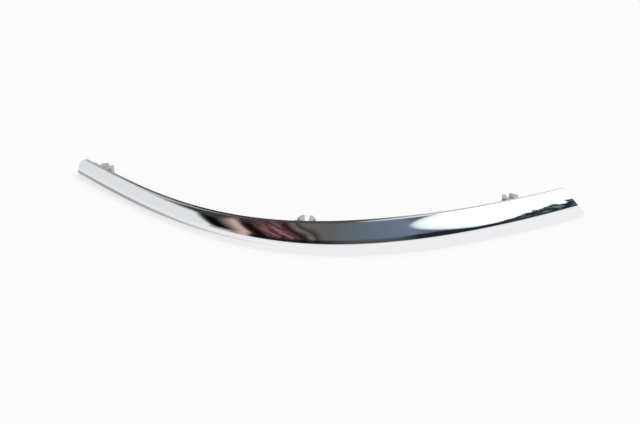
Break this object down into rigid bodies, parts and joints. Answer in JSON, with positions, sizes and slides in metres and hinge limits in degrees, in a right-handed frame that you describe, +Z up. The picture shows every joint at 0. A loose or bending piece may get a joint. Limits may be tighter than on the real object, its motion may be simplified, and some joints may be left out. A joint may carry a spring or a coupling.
{
  "type": "bumper moulding",
  "caption": "Tapering chrome-plated trim strip that bends round a bumper's corner, with an open ribbed back, locating pegs and snap clips.",
  "frame": {"origin": "on the ground under the middle of the footprint's box, with the strip standing on its lower return", "axes": "+X along the chord from the narrow outer end to the tall inner end, +Y to the back, +Z up"},
  "size_m": [0.6307, 0.1446, 0.0401],
  "materials": {
    "chrome_plating": "bright mirror plating over moulded plastic",
    "clip_nylon": "natural grey nylon, satin"
  },
  "bodies": {
    "root": {"moulding": "chrome_plating", "clip_outer": "clip_nylon", "clip_middle": "clip_nylon", "clip_inner": "clip_nylon"}
  },
  "joints": []
}
